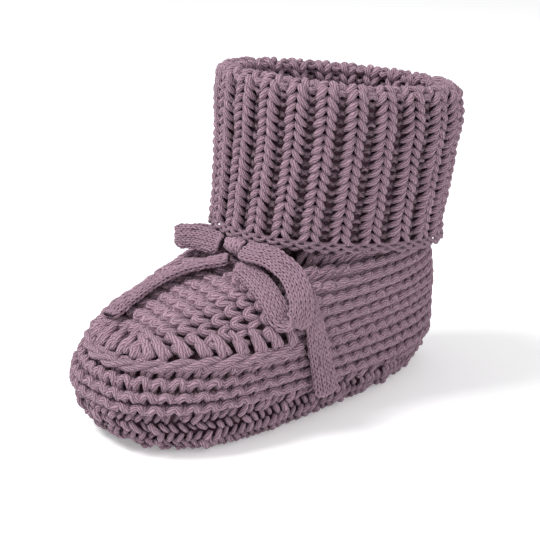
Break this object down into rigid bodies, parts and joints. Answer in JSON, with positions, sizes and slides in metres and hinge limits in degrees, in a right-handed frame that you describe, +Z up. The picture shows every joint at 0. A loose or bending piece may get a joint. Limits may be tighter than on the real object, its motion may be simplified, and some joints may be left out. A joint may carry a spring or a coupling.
{
  "type": "knit baby bootie",
  "caption": "Soft knit baby bootie with a garter-ridged foot, a raised vamp seam, a turned-down ribbed cuff and a flat knit cord tied in a bow at the ankle.",
  "frame": {"origin": "on the floor under the middle of the foot's flat underside", "axes": "+Z up, toe towards -Y, heel towards +Y, +X the side that the picture shows"},
  "size_m": [0.0626, 0.1109, 0.0862],
  "materials": {
    "foot_yarn": "soft cotton yarn, garter stitch",
    "cuff_yarn": "soft cotton yarn, rib stitch",
    "tie_yarn": "soft cotton yarn, narrow flat cord"
  },
  "bodies": {
    "root": {"sole": "foot_yarn", "upper": "foot_yarn", "vamp_seam": "foot_yarn", "cuff": "cuff_yarn", "tie_band": "tie_yarn", "tie_knot": "tie_yarn", "tie_loop_left": "tie_yarn", "tie_loop_right": "tie_yarn", "tie_end_left": "tie_yarn", "tie_end_right": "tie_yarn"}
  },
  "joints": []
}
